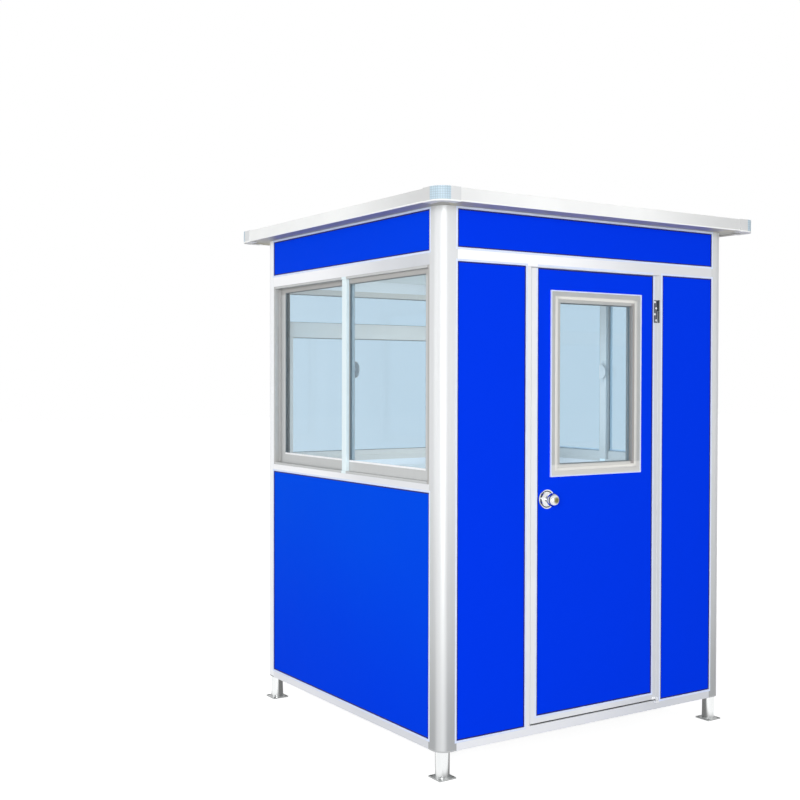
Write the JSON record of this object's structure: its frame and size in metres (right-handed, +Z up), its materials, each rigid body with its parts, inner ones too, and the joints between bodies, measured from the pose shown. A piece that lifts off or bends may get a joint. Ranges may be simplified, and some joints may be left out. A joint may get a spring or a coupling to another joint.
{
  "type": "security guard booth",
  "caption": "Free-standing guard cabin of insulated blue panels in white aluminium profiles, on round feet, with a hinged door, sliding side windows and a flat roof.",
  "frame": {"origin": "middle of the footprint, at ground level under the feet", "axes": "+Z up, -Y is the side with the door, +X to the right as seen from the door side"},
  "size_m": [1.784, 1.729, 2.3135],
  "materials": {
    "blue_panel": "smooth coil-coated steel sheet, semi-gloss blue",
    "post_aluminium": "satin silver-white extrusion",
    "rail_aluminium": "satin white extrusion",
    "window_aluminium": "white powder coat",
    "window_glass": "clear float glass",
    "roof_sheet": "white coil-coated steel sheet",
    "roof_trim": "white folded sheet, semi-gloss",
    "roof_corner": "moulded white corner cap",
    "foot_steel": "satin steel tube and plate",
    "joist_steel": "grey primed steel",
    "floor_deck": "grey floor sheet, matt",
    "lock_steel": "polished stainless steel",
    "hinge_steel": "stainless steel",
    "window_lock": "white cast zinc"
  },
  "bodies": {
    "booth": {"base_feet": "foot_steel", "floor_joists": "joist_steel", "floor_deck": "floor_deck", "sill_rails": "rail_aluminium", "door_jambs": "rail_aluminium", "head_rail_front": "rail_aluminium", "head_rails": "rail_aluminium", "jamb_hinge_leaf": "hinge_steel", "window_locks": "window_lock", "roof_panel": "roof_sheet", "roof_edge_trims": "roof_trim", "roof_corner_caps": "roof_corner", "corner_post_front_left": "post_aluminium", "corner_post_front_right": "post_aluminium", "corner_post_back_left": "post_aluminium", "corner_post_back_right": "post_aluminium", "bottom_rail_front": "rail_aluminium", "bottom_rail_back": "rail_aluminium", "bottom_rail_left": "rail_aluminium", "bottom_rail_right": "rail_aluminium", "lower_panel_left": "blue_panel", "lower_panel_right": "blue_panel", "lower_panel_back": "blue_panel", "front_panel_latch_side": "blue_panel", "front_panel_hinge_side": "blue_panel", "fascia_panel_front": "blue_panel", "fascia_panel_back": "blue_panel", "fascia_panel_left": "blue_panel", "fascia_panel_right": "blue_panel", "window_frame_left": "window_aluminium", "window_glass_left": "window_glass", "window_frame_right": "window_aluminium", "window_glass_right": "window_glass", "window_frame_back": "window_aluminium", "window_glass_back": "window_glass", "window_sashes_left": "window_aluminium", "window_sashes_right": "window_aluminium"},
    "door": {"door_leaf": "blue_panel", "door_edge_trim": "rail_aluminium", "door_window_frame": "window_aluminium", "door_glass": "window_glass", "door_lock_roses": "lock_steel", "door_hinge_leaf": "hinge_steel"},
    "knob": {"door_knobs": "lock_steel"}
  },
  "joints": [
    {"name": "door_swing", "type": "hinge", "parent": "booth", "child": "door", "pos_m": [0.378, -0.7585, 1.883], "axis": [0, 0, 1], "range_deg": [0, 170]},
    {"name": "knob_turn", "type": "hinge", "parent": "door", "child": "knob", "pos_m": [-0.26, -0.7525, 1.083], "axis": [0, 1, 0], "range_deg": [-60, 60], "stiffness_Nm_per_rad": 0.3}
  ]
}
